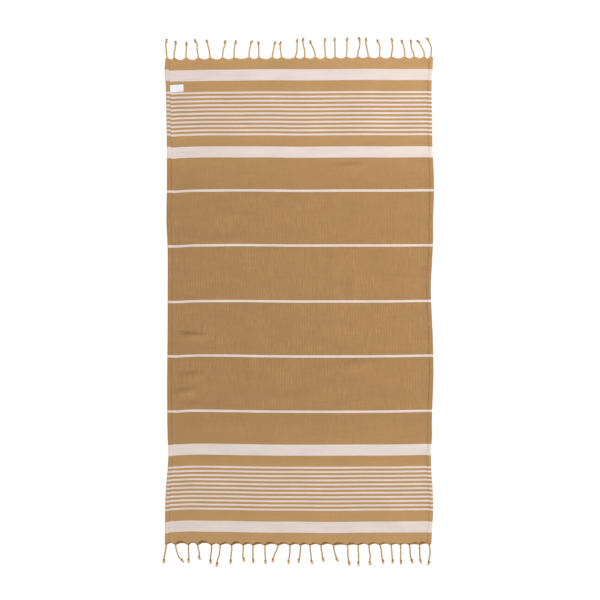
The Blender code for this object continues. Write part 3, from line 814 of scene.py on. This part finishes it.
def woven_cotton(settings):
    """Flat-woven cotton: soft, thick, matt yarn with a faint bloom of loose fibre.

    The tan is warp and weft of one dye, and shows the warp as fine ribs along the towel. In
    the cream stripes the weft covers the warp, so they are smoother and ribbed across."""
    material, add, shader = new_material("woven_cotton")
    weave = add("UVMap", uv_map="weave")
    u = add("SeparateXYZ", (weave,), "X")
    v = u.node.outputs["Y"]
    from_middle = add("Math", (v,), operation="ABSOLUTE")

    # Where the weft is cream
    cream = 0.0
    for stripe in LONE_STRIPES:
        inside = add("Math", (from_middle, stripe.middle, stripe.width / 2), operation="COMPARE")
        cream = add("Math", (inside, cream), operation="ADD")
    pitch = (GROUP_TO - GROUP_FROM - GROUP_STRIPE) / (GROUP_STRIPES - 1)
    since_first = add("Math", (from_middle, GROUP_FROM + GROUP_STRIPE / 2), operation="SUBTRACT")
    from_nearest = add("Math", (since_first, pitch / 2), operation="PINGPONG")
    beside = add("Math", (from_nearest, GROUP_STRIPE / 2), operation="LESS_THAN")
    middle, half = (GROUP_FROM + GROUP_TO) / 2, (GROUP_TO - GROUP_FROM) / 2
    within = add("Math", (from_middle, middle, half), operation="COMPARE")
    cream = add("Math", (beside, within, cream), operation="MULTIPLY_ADD")

    nearing = add("MapRange", (from_middle, BORDER_FROM, BORDER_FULL))
    inner = add("Math", (nearing, 3.0), operation="POWER")
    outer = add("MapRange", (from_middle, OUTER_FROM, OUTER_FULL, 0.0, OUTER_SHARE))
    border = add("Math", (inner, 1 - OUTER_SHARE, outer), operation="MULTIPLY_ADD")
    body_tan, border_tan = (*settings.body_tan, 1.0), (*settings.border_tan, 1.0)
    tan = add("Mix", {0: border, 6: body_tan, 7: border_tan}, 2, data_type="RGBA")
    # Painted shade: the tan is darker in a line beside the turned edge of each hem, standing in
    # for the shade in the crevice beside that edge
    from_centre = add("Math", (u,), operation="ABSOLUTE")
    line = NOMINAL_SIDE - settings.hem_width - HEM_SHADE_BESIDE
    past_line = add("Math", (from_centre, line), operation="SUBTRACT")
    from_line = add("Math", (past_line,), operation="ABSOLUTE")
    painted_hem_shade = add(
        "MapRange",
        (from_line, 0.0, HEM_SHADE_WIDTH, PAINTED_HEM_SHADE, 1.0),
        interpolation_type="SMOOTHSTEP",
    )
    tan = add("VectorMath", {0: tan, "Scale": painted_hem_shade}, operation="SCALE")
    dyed = add("Mix", {0: cream, 6: tan, 7: (*settings.cream, 1.0)}, 2, data_type="RGBA")

    # Uneven dye and yarn: streaks along the warp 8 mm wide, slubs along the weft 4 mm wide, and
    # broad clouds, as cells of noise per metre. The streaks lie round 0, the others round 0.5
    streak_space = add("VectorMath", (weave, (130.0, 24.0, 1.0)), operation="MULTIPLY")
    streaks = add(
        "TexNoise", {"Vector": streak_space, "Scale": 1.0, "Detail": 2.0}, normalize=False
    )
    slub_space = add("VectorMath", (weave, (9.0, 240.0, 1.0)), operation="MULTIPLY")
    slubs = add("TexNoise", {"Vector": slub_space, "Scale": 1.0, "Detail": 2.0})
    cloud_space = add("VectorMath", (weave, (9.0, 24.0, 1.0)), operation="MULTIPLY")
    clouds = add("TexNoise", {"Vector": cloud_space, "Scale": 1.0, "Detail": 3.0})
    weft = add("Math", (slubs, 0.7, 0.15), operation="MULTIPLY_ADD")
    # The ribs of thicker warp, drawn RIB_PITCH apart, where real ones stand 1 to 2 mm apart,
    # so that they show. They are unevenly spaced, come and go, and are faint near the bands
    evenly = add("Math", (u, math.tau / RIB_PITCH), operation="MULTIPLY")
    unevenly = add("Math", (streaks, 3.5, evenly), operation="MULTIPLY_ADD")
    thicker = add("Math", (unevenly,), operation="SINE")
    raised = add("MapRange", (clouds, 0.35, 0.65, 0.0, 1.5))
    warp = add("Math", (thicker, raised, streaks), operation="MULTIPLY_ADD")
    warp_share = add("MapRange", (nearing, 0.0, 1.0, 0.27, 0.06))
    crossed = add("Math", (warp, warp_share, weft), operation="MULTIPLY_ADD")
    along_yarn = add("Mix", {0: cream, 2: crossed, 3: slubs}, data_type="FLOAT")
    uneven = add("Math", (along_yarn, clouds), operation="ADD")
    shade = add("MapRange", (uneven, 0.0, 2.0, 0.80, 1.20))
    coloured = add("VectorMath", {0: dyed, "Scale": shade}, operation="SCALE")

    # The weave, drawn three times as coarse as it is, so that it shows
    ends = add("Math", (u, math.tau / YARN_PITCH), operation="MULTIPLY")
    picks = add("Math", (v, math.tau / YARN_PITCH), operation="MULTIPLY")
    rib_along = add("Math", (ends,), operation="SINE")
    rib_across = add("Math", (picks,), operation="SINE")
    ribs = add("Mix", {0: cream, 2: rib_along, 3: rib_across}, data_type="FLOAT")
    crossings = add("Math", (rib_along, rib_across), operation="MULTIPLY")
    relief = add("Math", (crossings, 0.8, ribs), operation="MULTIPLY_ADD")
    thick_yarns = add("Math", (along_yarn, 3.0, relief), operation="MULTIPLY_ADD")
    bump = add("Bump", {"Height": thick_yarns, "Strength": 0.55, "Distance": 0.00018})
    roughness = add("MapRange", (clouds, 0.0, 1.0, 0.82, 0.96))
    fill_sockets(
        shader,
        {
            "Base Color": coloured,
            "Normal": bump,
            "Roughness": roughness,
            "Specular IOR Level": 0.25,
            "Sheen Weight": 0.12,
            "Sheen Roughness": 0.6,
        },
    )
    return material


# ---------------------------------------------------------------- the fringe

RIM_POINTS = 7  # of a ply, along the scalloped edge
LINE_POINTS = 60  # of a cord's middle line, from root to tip
BODY_POINTS = 40  # of it, from its root to its knot
KNOT_POINTS = 26
PLY_RINGS, PLY_SIDES = 150, 10
ROOT_HEIGHT = 0.6  # share of its height over the floor from which it rises at the root
ROOT_RISE_FROM, ROOT_RISE_TO = -0.001, 0.0035  # along it
KNOT_SCALE = 0.00100  # a third of the radius of the knot's outer turns
KNOT_RISE = 0.0018
KNOT_EXIT = 0.55  # how far beyond the knot's middle a cord leaves it, over KNOT_LENGTH
KNOT_EXIT_DROP = 0.0006
PLY_IN_KNOT = 0.82  # the knot pulls its plies thinner
KNOT_PULL_FROM, KNOT_PULL_FULL = 0.040, 0.032  # before a ply's end, where it thins
FRAY, FRAY_LENGTH = 0.4, 0.003  # how much of its radius a ply loses at its very end
PLIES_MEET = 0.0022  # how far along a cord its plies have come together
PLY_TWIST = -70.0  # turns of the yarns in a ply, per metre
STOUTNESS_SPREAD = 0.05  # how much stouter or thinner than usual a cord can be
LONGEST_SHIFT = 9.0  # of a strand's pattern, in metres
RIM_THREAD = 0.0005  # radius at which a ply starts, halfway between two roots
RIM_OVERLAP = 0.0006  # how far it starts beyond that middle, so that it meets its neighbour
RIM_FROM_SIDE = 0.001  # how far in from the side the outermost plies start
RIM_HEIGHT = 0.0004  # of its middle line over the edge
RIM_GATHERS = 0.002  # how far past the rim it reaches its full radius
RIM_INTO_ROOT = 0.42  # where it ends beside its root's middle, over ROOT_WIDTH
HEAD_TUFT_REACH = 0.0022  # how far its longest yarns pass the tip that the solids have
FOOT_TUFT_REACH = 0.0034
TUFT_YARNS = 26
SHORTEST_YARN = 0.75  # over the longest
FAN, BEND = 0.40, 0.25  # how far aside a yarn can lean and curl, over its length
TUFT_START = 0.0018  # how far back in the knot the yarns start
TUFT_WIDTH = 0.0040  # how far aside a yarn starts, over its lean
TUFT_LOWEST, TUFT_HIGHEST = -0.0009, 0.0010  # how far over the cord's end a yarn starts
TUFT_FALL = 0.6  # the share of its height that a yarn loses
YARN_TAPER = 0.25  # and of its radius
YARN_RADIUS = 0.00037
TUFT_RINGS, TUFT_SIDES = 5, 5


def point_at(points, share):
    """The point that lies this share of the way along evenly spaced points."""
    place_in = share * (len(points) - 1)
    index = min(int(place_in), len(points) - 2)
    return points[index].lerp(points[index + 1], place_in - index)


def cord_line(tassel, out, root, radius):
    """The middle line of one cord, from its root to where it leaves its knot, and its tip."""
    distances = spread(0.0, tassel.reach, 4)
    asides = [0.0, tassel.quarter, tassel.middle, tassel.third, tassel.tip]
    whole = resample(
        [
            Vector((root[0] + through(distances, asides, far), root[1] + out * far, 0.0))
            for far in spread(0.0, tassel.reach, LINE_POINTS)
        ],
        LINE_POINTS,
    )
    length = (whole[1] - whole[0]).length * (LINE_POINTS - 1)
    knot_start = length - TUFT_LENGTH - KNOT_LENGTH
    points = []
    for distance in spread(0.0, knot_start, BODY_POINTS):
        point = point_at(whole, distance / length)
        risen = ease(distance, ROOT_RISE_FROM, ROOT_RISE_TO)
        point.z = radius * (ROOT_HEIGHT + (1 - ROOT_HEIGHT) * risen)
        points.append(point)
    tip = whole[-1]
    middle = point_at(whole, (knot_start + KNOT_LENGTH / 2) / length)
    heading = (tip - middle).normalized()
    beside = Vector((-heading.y, heading.x, 0.0))
    side = 1.0 if round(tassel.root * 1000) % 2 else -1.0
    middle.z = KNOT_RISE + radius * PLY_IN_KNOT
    # An overhand knot is the curve of a trefoil, open where the cord comes in and goes out
    for turn in spread(math.pi, 3 * math.pi, KNOT_POINTS):
        forward = math.sin(turn) + 2 * math.sin(2 * turn)
        sideways = math.cos(turn) - 2 * math.cos(2 * turn) + 1.5
        points.append(
            middle
            + KNOT_SCALE * (forward * heading + side * sideways * beside)
            + Vector((0.0, 0.0, -KNOT_RISE * math.sin(3 * turn)))
        )
    exit_from = middle + heading * KNOT_LENGTH * KNOT_EXIT
    points.append(exit_from + Vector((0.0, 0.0, -KNOT_EXIT_DROP)))
    return points, tip


def rim_points(tassel, neighbour, side, tassels, out):
    """The start of one ply along the scalloped edge, from halfway to the next root to its own."""
    end = out * CLOTH_LENGTH / 2
    if neighbour:
        start = (tassel.root + neighbour.root) / 2 + side * RIM_OVERLAP
    else:
        start = side * (side_at(side, end) - RIM_FROM_SIDE)
    points = []
    for x in spread(start, tassel.root + side * ROOT_WIDTH * RIM_INTO_ROOT, RIM_POINTS - 1):
        fall, angle = scallop(x, tassels, end)
        x, y = place(x, end - out * fall)
        points.append(Vector((x, y, rolled(1.0, angle)[1] + RIM_HEIGHT)))
    return points


def add_tuft(mesh, template, start, tip, beyond, chance):
    """The frayed ends of a cord, which fan out from its knot to a little beyond its tip."""
    heading = tip - start
    heading.z = 0.0
    length = heading.length
    heading.normalize()
    length += beyond
    beside = Vector((-heading.y, heading.x, 0.0))
    shares = spread(0.0, 1.0, TUFT_RINGS - 1)
    radii = [YARN_RADIUS * (1 - YARN_TAPER * share) for share in shares]
    for _ in range(TUFT_YARNS):
        reach = length * chance.uniform(SHORTEST_YARN, 1.0)
        fan = chance.uniform(-FAN, FAN)
        bend = chance.uniform(-BEND, BEND)
        foot = start - heading * TUFT_START + beside * fan * TUFT_WIDTH
        foot.z = start.z + chance.uniform(TUFT_LOWEST, TUFT_HIGHEST)
        path = []
        for share in shares:
            aside = (fan * share + bend * share**2) * reach
            point = foot + heading * reach * share + beside * aside
            point.z = max(YARN_RADIUS, foot.z * (1 - TUFT_FALL * share**2))
            path.append(point)
        add_strand(mesh, template, path, radii, tone=chance.uniform(0.0, LONGEST_SHIFT))


def ply_path(rim, line, start, radius, offset, pitch):
    """The middle line of one ply: along its rim, then round the cord's line to its end."""
    path = []
    for index, point in enumerate(rim):
        thread = RIM_THREAD + (radius - RIM_THREAD) * index / len(rim)
        path.append(Vector((point.x, point.y, max(point.z, thread))))
    travelled = distances_along(line)
    for index, (point, beside, above) in enumerate(frames_along(line)):
        if travelled[index] >= PLIES_MEET:
            pull = ease(index, BODY_POINTS - 4, BODY_POINTS + 3)
            aside = offset * (1 - (1 - PLY_IN_KNOT) * pull)
            angle = start + math.tau * travelled[index] / pitch
            path.append(point + aside * (beside * math.cos(angle) + above * math.sin(angle)))
    return resample(path, PLY_RINGS)


def ply_radii(path, rim, radius):
    """The ply's radius at each ring: it gathers along its rim, thins in the knot and frays."""
    gathered_at = distances_along(rim)[-1] + RIM_GATHERS
    end = distances_along(path)[-1]
    radii = []
    for ring in range(PLY_RINGS):
        at = end * ring / (PLY_RINGS - 1)
        full = RIM_THREAD + (radius - RIM_THREAD) * ease(at, 0.0, gathered_at)
        knotted = ease(at, end - KNOT_PULL_FROM, end - KNOT_PULL_FULL)
        frayed = 1 - FRAY * ease(at, end - FRAY_LENGTH, end)
        radii.append(full * (1 - (1 - PLY_IN_KNOT) * knotted) * frayed)
    return radii


def add_cord(mesh, templates, number, tassels, out, settings, chance):
    """One cord: two plies from the edge to the knot, and the tuft that they fray into."""
    tassel = tassels[number]
    stout = chance.uniform(1 - STOUTNESS_SPREAD, 1 + STOUTNESS_SPREAD)
    stout *= 1.0 if out > 0 else settings.foot_stoutness
    radius, offset = settings.ply_radius * stout, settings.ply_offset * stout
    root = place(tassel.root, out * CLOTH_LENGTH / 2)
    line, tip = cord_line(tassel, out, root, radius + offset)
    for side in (-1, 1):
        beyond = number + side
        neighbour = tassels[beyond] if 0 <= beyond < len(tassels) else None
        rim = rim_points(tassel, neighbour, side, tassels, out)
        # A ply starts on its own side of the cord
        start = 0.0 if side * out < 0 else math.pi
        path = ply_path(rim, line, start, radius, offset, settings.pitch)
        shift = chance.uniform(0.0, LONGEST_SHIFT)
        add_strand(mesh, templates[0], path, ply_radii(path, rim, radius), PLY_TWIST, shift)
    reach = HEAD_TUFT_REACH if out > 0 else FOOT_TUFT_REACH
    add_tuft(mesh, templates[1], line[-1], tip, reach, chance)


class TOWEL_OT_twist_fringe(bpy.types.Operator):
    """Twist and knot the warp at both ends into cords"""

    bl_idname = "towel.twist_fringe"
    bl_label = "Twist Fringe"

    def execute(self, context):
        settings = context.scene.towel_fringe
        yarn = plied_yarn(settings)
        templates = (
            strand_template(PLY_SIDES, PLY_RINGS),
            strand_template(TUFT_SIDES, TUFT_RINGS),
        )
        for end, tassels, out in (("head", HEAD_TASSELS, 1), ("foot", FOOT_TASSELS, -1)):
            chance = random.Random(f"{end} cords")
            mesh = bmesh.new()
            mesh.verts.layers.float_vector.new("fibre")
            for number in range(len(tassels)):
                add_cord(mesh, templates, number, tassels, out, settings, chance)
            cords = finish_piece(f"towel_cords_{end}", mesh, yarn)
            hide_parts(f"fringe_{end}")
        for template in templates:
            bpy.data.meshes.remove(template)
        return {"FINISHED"}


def plied_yarn(settings):
    """Soft-spun cotton yarn: matt, with fine fibres that wind round each ply and catch light."""
    material, add, shader = new_material("plied_cotton_yarn")
    fibre = add("Attribute", (), "Vector", attribute_name="fibre")
    # Yarns in a ply are about 0.5 mm across, and run along it
    strands = add("VectorMath", (fibre, (1900.0, 1900.0, 130.0)), operation="MULTIPLY")
    grain = add("TexNoise", {"Vector": strands, "Scale": 1.0, "Detail": 2.0})
    slow = add("TexNoise", {"Vector": fibre, "Scale": 60.0, "Detail": 1.0})
    both = add("Math", (grain, slow), operation="ADD")
    shade = add("MapRange", (both, 0.6, 1.4, 0.80, 1.16))
    coloured = add("VectorMath", {0: settings.yarn, "Scale": shade}, operation="SCALE")
    bump = add("Bump", {"Height": grain, "Strength": 0.7, "Distance": 0.0004})
    roughness = add("MapRange", (slow, 0.0, 1.0, 0.8, 0.95))
    fill_sockets(
        shader,
        {
            "Base Color": coloured,
            "Normal": bump,
            "Roughness": roughness,
            "Specular IOR Level": 0.25,
            "Sheen Weight": 0.15,
            "Sheen Roughness": 0.6,
        },
    )
    return material


# ---------------------------------------------------------------- the hems' stitches

STITCH_RINGS, STITCH_SIDES = 5, 5
STITCH_SHARE = 0.82  # of the pitch that a stitch covers, from hole to hole
STITCH_SLANT = 0.0002  # how far a stitch lies across the line of the seam
STITCH_RADII = (0.7, 1.0, 1.05, 1.0, 0.7)  # of its rings, over the thread's
STITCH_BOW = 2.2  # how far it rises between its two holes, over the thread's radius
SEAM_END = 0.005  # from the seam's end to that of the cloth


def stitch_path(side, start, length, thread, top):
    """The stretch of thread that shows between two needle holes, and dives into both."""
    path = []
    for share in spread(0.0, 1.0, STITCH_RINGS - 1):
        along = start + length * share
        inset = SEAM_INSET + STITCH_SLANT * (2 * share - 1)
        x, y = place(side * (side_at(side, along) - inset), along)
        bow = thread * (STITCH_BOW * math.sin(math.pi * share) - 1.0)
        path.append(Vector((x, y, ground(x, y) + top + bow)))
    return path


class TOWEL_OT_sew_hems(bpy.types.Operator):
    """Sew both hems down with a straight lockstitch"""

    bl_idname = "towel.sew_hems"
    bl_label = "Sew Hems"

    def execute(self, context):
        settings = context.scene.towel_stitching
        thickness = context.scene.towel_cloth.thickness
        top = 3 * thickness + 2 * FOLD_SLACK - SEAM_DEPTH
        template = strand_template(STITCH_SIDES, STITCH_RINGS)
        radii = [settings.thread * size for size in STITCH_RADII]
        length = settings.pitch * STITCH_SHARE
        half = CLOTH_LENGTH / 2 - SEAM_END
        mesh = bmesh.new()
        for side in (-1, 1):
            for number in range(int(2 * half / settings.pitch)):
                start = -half + number * settings.pitch
                path = stitch_path(side, start, length, settings.thread, top)
                add_strand(mesh, template, path, radii)
        bpy.data.meshes.remove(template)
        finish_piece("hem_stitching", mesh, sewing_thread(settings))
        return {"FINISHED"}


def sewing_thread(settings):
    """Spun polyester sewing thread: finer and a little glossier than the towel's own yarn."""
    material, add, shader = new_material("spun_polyester_thread")
    place_in = add("TexCoord", (), "Object")
    twist = add("TexNoise", {"Vector": place_in, "Scale": 2200.0, "Detail": 1.0})
    shade = add("MapRange", (twist, 0.0, 1.0, 0.85, 1.15))
    coloured = add("VectorMath", {0: settings.colour, "Scale": shade}, operation="SCALE")
    fill_sockets(shader, {"Base Color": coloured, "Roughness": 0.6, "Specular IOR Level": 0.4})
    return material


# ---------------------------------------------------------------- the label

LABEL_START = -0.0235  # from LABEL_CENTRE to the hem's edge, along the label
LABEL_TUCK = 0.0022  # how far it runs in under the hem
LABEL_COLUMNS, LABEL_ROWS = 30, 16
LABEL_LIFT = 0.0002  # over the cloth, with half of GAP
RIPPLE, RIPPLE_LENGTH = 0.0002, 0.019  # height and length of its ripples
RIPPLE_SLANT = 60  # how many radians they lag, per metre across the tape
RIPPLE_FROM = -0.02  # from LABEL_CENTRE to where its ripples begin


def lay_tape(settings, cloth):
    """The label's face without its thickness, laid on the cloth and tucked under the hem."""
    mesh = bmesh.new()
    bmesh.ops.create_grid(mesh, x_segments=LABEL_COLUMNS, y_segments=LABEL_ROWS, size=0.5)
    bmesh.ops.reverse_faces(mesh, faces=mesh.faces[:])
    weave = mesh.verts.layers.float_vector.new("weave")
    turned = Matrix.Rotation(LABEL_TILT, 2)
    for vert in mesh.verts:
        x = LABEL_START - LABEL_TUCK + (vert.co.x + 0.5) * (settings.width + LABEL_TUCK)
        y = vert.co.y * settings.depth
        vert[weave] = (x, y, 0.0)
        free = ease(x, 0.0, settings.width / 2) * (2 * y / settings.depth) ** 2
        phase = math.tau * x / RIPPLE_LENGTH + RIPPLE_SLANT * y
        ripple = RIPPLE * math.sin(phase) * ease(x, RIPPLE_FROM, 0.0)
        spot = turned @ Vector((x, y))
        spot += Vector(LABEL_CENTRE)
        inset = side_at(-1, spot.y) - abs(spot.x)
        height = ground(*spot) + cloth.thickness + GAP / 2
        height += LABEL_CURL * free + ripple + LABEL_LIFT + rise_beside(inset, cloth.hem_width)
        vert.co = (*spot, height)
    return mesh


class TOWEL_OT_sew_label(bpy.types.Operator):
    """Sew in the bare satin label beside the left hem"""

    bl_idname = "towel.sew_label"
    bl_label = "Sew Label"

    def execute(self, context):
        settings = context.scene.towel_label
        mesh = lay_tape(settings, context.scene.towel_cloth)
        bmesh.ops.solidify(mesh, geom=mesh.faces[:], thickness=settings.thickness)
        keep_weave_as_uv(mesh)
        label = finish_piece("towel_label", mesh, satin_tape(settings))
        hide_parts("label")
        return {"FINISHED"}


def satin_tape(settings):
    """White polyester satin tape: smooth long floats, with a soft shine across the weave."""
    material, add, shader = new_material("polyester_satin")
    weave = add("UVMap", uv_map="weave")
    floats = add("VectorMath", (weave, (90.0, 1400.0, 1.0)), operation="MULTIPLY")
    grain = add("TexNoise", {"Vector": floats, "Scale": 1.0, "Detail": 1.0})
    shade = add("MapRange", (grain, 0.0, 1.0, 0.96, 1.03))
    coloured = add("VectorMath", {0: settings.colour, "Scale": shade}, operation="SCALE")
    bump = add("Bump", {"Height": grain, "Strength": 0.3, "Distance": 0.0001})
    looks = {"Base Color": coloured, "Normal": bump, "Roughness": 0.45, "Sheen Weight": 0.1}
    fill_sockets(shader, looks)
    return material


# ---------------------------------------------------------------- the stage

VIEW_CENTRE = (0.0014, 0.0044)  # the point of the drawing that the camera looks straight down on
LENS = 85.0
SENSOR = 36.0
KEY_FROM = (0.34, -0.74, 0.57)  # low over the towel's foot, a little to the right
KEY_SPREAD = math.radians(12.0)
FILL_PLACE = (3.0, 1.3, 2.4)
FILL_SIZE = 1.8
AMBIENT = 0.17
FLOOR_HALF = 30.0
FLOOR_DROP = 0.0003  # how far the floor lies below the frame's origin, clear of the cloth


def add_lamp(light, towards_light):
    """Adds a lamp that shines on the towel from this direction."""
    lamp = add_object(light.name, light)
    lamp.rotation_euler = (-Vector(towards_light)).to_track_quat("-Z", "Y").to_euler()
    return lamp


def white_board():
    """Matt white board, which glows a little so that the shadows on it stay faint."""
    material, _, shader = new_material("white_board")
    fill_sockets(
        shader,
        {
            "Base Color": (0.15, 0.15, 0.15, 1.0),
            "Roughness": 0.9,
            "Specular IOR Level": 0.0,
            "Emission Color": (1.0, 1.0, 1.0, 1.0),
            "Emission Strength": 0.9,
        },
    )
    return material


class TOWEL_OT_set_stage(bpy.types.Operator):
    """Set the white floor, the soft lights and the camera straight above"""

    bl_idname = "towel.set_stage"
    bl_label = "Set Stage"

    def execute(self, context):
        scene = context.scene
        settings = scene.towel_stage
        mesh = bmesh.new()
        bmesh.ops.create_grid(mesh, x_segments=1, y_segments=1, size=FLOOR_HALF)
        bmesh.ops.translate(mesh, verts=mesh.verts[:], vec=(0.0, 0.0, -FLOOR_DROP))
        floor = add_object("floor", finish_mesh("floor", mesh))
        floor.data.materials.append(white_board())

        key = bpy.data.lights.new("key_light", "SUN")
        key.energy = settings.key_strength
        key.angle = KEY_SPREAD
        add_lamp(key, KEY_FROM)
        fill = bpy.data.lights.new("fill_light", "AREA")
        fill.shape = "SQUARE"
        fill.size = FILL_SIZE
        fill.energy = settings.fill_power
        add_lamp(fill, FILL_PLACE).location = FILL_PLACE
        world = bpy.data.worlds.new("studio")
        world.use_nodes = True
        fill_sockets(world.node_tree.nodes["Background"], ((1.0, 1.0, 1.0, 1.0), AMBIENT))
        scene.world = world

        camera_data = bpy.data.cameras.new("camera")
        camera_data.lens = LENS
        camera_data.sensor_width = SENSOR
        camera = add_object("camera", camera_data)
        camera.location = INTO_FRAME @ Vector((*VIEW_CENTRE, settings.camera_height))
        scene.camera = camera
        scene.view_settings.view_transform = "Standard"
        return {"FINISHED"}


class TOWEL_PT_make(bpy.types.Panel):
    """The towel's pieces and their settings"""

    bl_idname = "TOWEL_PT_make"
    bl_label = "Hammam Towel"
    bl_space_type = "VIEW_3D"
    bl_region_type = "UI"
    bl_category = "Towel"

    def draw(self, context):
        for name, (_, operator) in PARTS.items():
            box = self.layout.box()
            settings = getattr(context.scene, name)
            for setting in settings.__annotations__:
                box.prop(settings, setting)
            box.operator(operator.bl_idname)


# The scene's settings, by name: their class, and the operator that uses them
PARTS = {
    "towel_cloth": (TOWEL_PG_cloth, TOWEL_OT_weave_cloth),
    "towel_fringe": (TOWEL_PG_fringe, TOWEL_OT_twist_fringe),
    "towel_stitching": (TOWEL_PG_stitching, TOWEL_OT_sew_hems),
    "towel_label": (TOWEL_PG_label, TOWEL_OT_sew_label),
    "towel_stage": (TOWEL_PG_stage, TOWEL_OT_set_stage),
}
CLASSES = [cls for pair in PARTS.values() for cls in pair] + [TOWEL_PT_make]


def register():
    for cls in CLASSES:
        bpy.utils.register_class(cls)
    for name, (group, _) in PARTS.items():
        setattr(bpy.types.Scene, name, PointerProperty(type=group))


def unregister():
    for name in PARTS:
        delattr(bpy.types.Scene, name)
    for cls in reversed(CLASSES):
        bpy.utils.unregister_class(cls)


def main():
    register()
    bpy.ops.towel.weave_cloth()
    bpy.ops.towel.twist_fringe()
    bpy.ops.towel.sew_hems()
    bpy.ops.towel.sew_label()
    bpy.ops.towel.set_stage()


if __name__ == "__main__":
    main()
